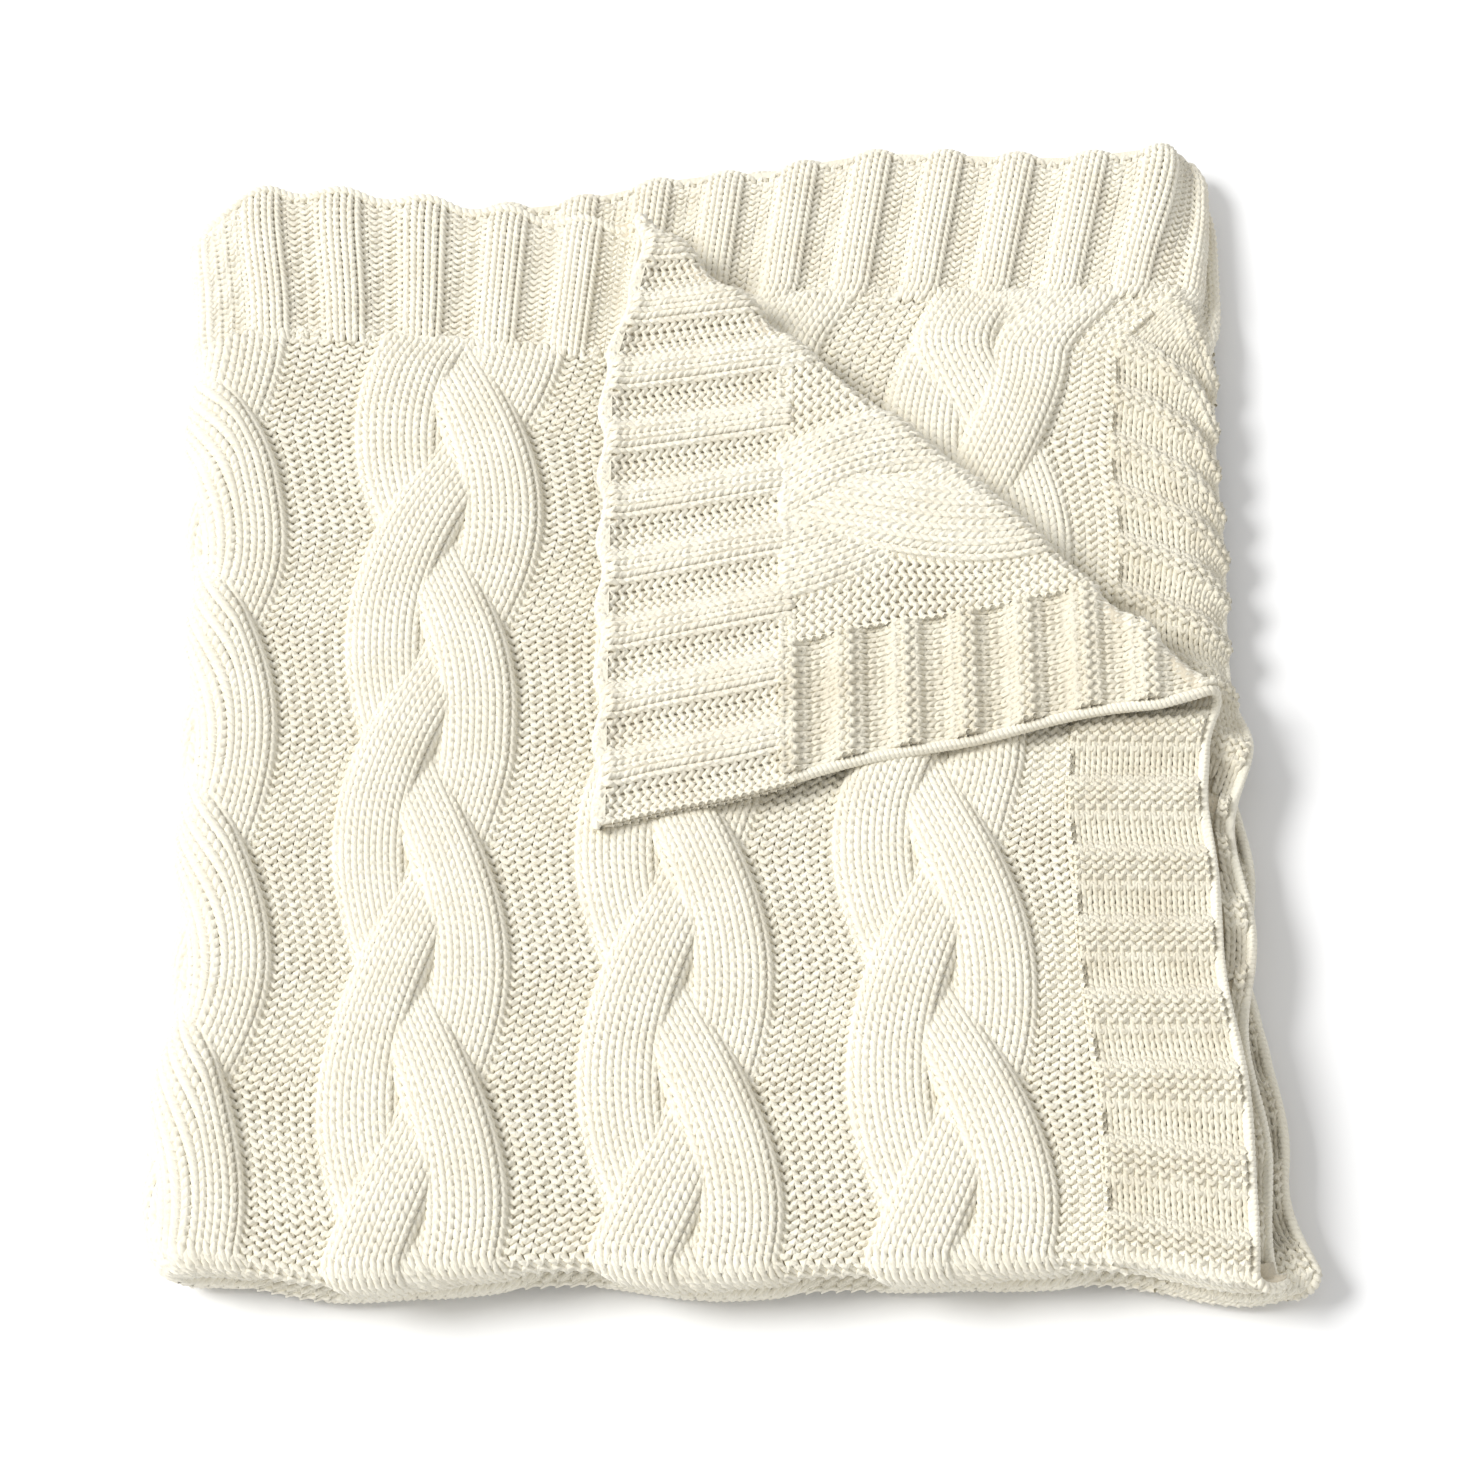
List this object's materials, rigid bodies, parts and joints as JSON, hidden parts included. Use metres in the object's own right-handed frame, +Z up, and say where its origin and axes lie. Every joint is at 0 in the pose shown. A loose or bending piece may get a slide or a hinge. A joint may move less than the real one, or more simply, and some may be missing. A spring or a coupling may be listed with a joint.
{
  "type": "folded throw blanket",
  "caption": "Chunky cable-knit throw folded in four with one top corner turned back; the folds and the corner open.",
  "frame": {"origin": "centre of the bounding box on the surface that the folded throw lies on", "axes": "+Z up, -Y towards the front fold and +Y towards the ribbed ends, -X towards the side fold and +X towards the welted side borders"},
  "size_m": [0.6506, 0.7784, 0.0649],
  "materials": {
    "cable_knit": "matte soft yarn, plaited cables on purl ground",
    "rib_knit": "matte soft yarn, three by three rib",
    "welt_knit": "matte soft yarn, horizontal knit and purl welts",
    "chain_edge": "matte soft yarn, chain edge"
  },
  "bodies": {
    "lower": {"third_cable_field": "cable_knit", "third_rib_end": "rib_knit", "third_side_welt": "welt_knit", "third_end_chain": "chain_edge", "third_side_chain": "chain_edge", "bottom_cable_field": "cable_knit", "bottom_rib_end": "rib_knit", "bottom_side_welt": "welt_knit", "bottom_end_chain": "chain_edge", "bottom_side_chain": "chain_edge", "lower_front_fold": "cable_knit", "side_fold_outer": "cable_knit", "side_fold_inner": "cable_knit", "side_fold_outer_rib": "rib_knit", "side_fold_inner_rib": "rib_knit", "fold_corner": "cable_knit"},
    "upper": {"top_cable_field": "cable_knit", "top_rib_end": "rib_knit", "top_side_welt": "welt_knit", "top_end_chain": "chain_edge", "top_side_chain": "chain_edge", "second_cable_field": "cable_knit", "second_rib_end": "rib_knit", "second_side_welt": "welt_knit", "second_end_chain": "chain_edge", "second_side_chain": "chain_edge", "upper_front_fold": "cable_knit", "crease_roll": "cable_knit"},
    "flap": {"flap_cable_field": "cable_knit", "flap_rib_end": "rib_knit", "flap_side_welt": "welt_knit", "flap_end_chain": "chain_edge", "flap_side_chain": "chain_edge"}
  },
  "joints": [
    {"name": "half_fold", "type": "hinge", "parent": "lower", "child": "upper", "pos_m": [-0.31241, 0, 0.0259], "axis": [0, -1, 0], "range_deg": [0, 175], "deforming": ["side_fold_outer", "side_fold_inner", "side_fold_outer_rib", "side_fold_inner_rib", "fold_corner"]},
    {"name": "corner_fold", "type": "hinge", "parent": "upper", "child": "flap", "pos_m": [0.1292, 0.1292, 0.0521], "axis": [-0.7071, 0.7071, 0], "range_deg": [0, 180], "deforming": ["crease_roll"]}
  ]
}
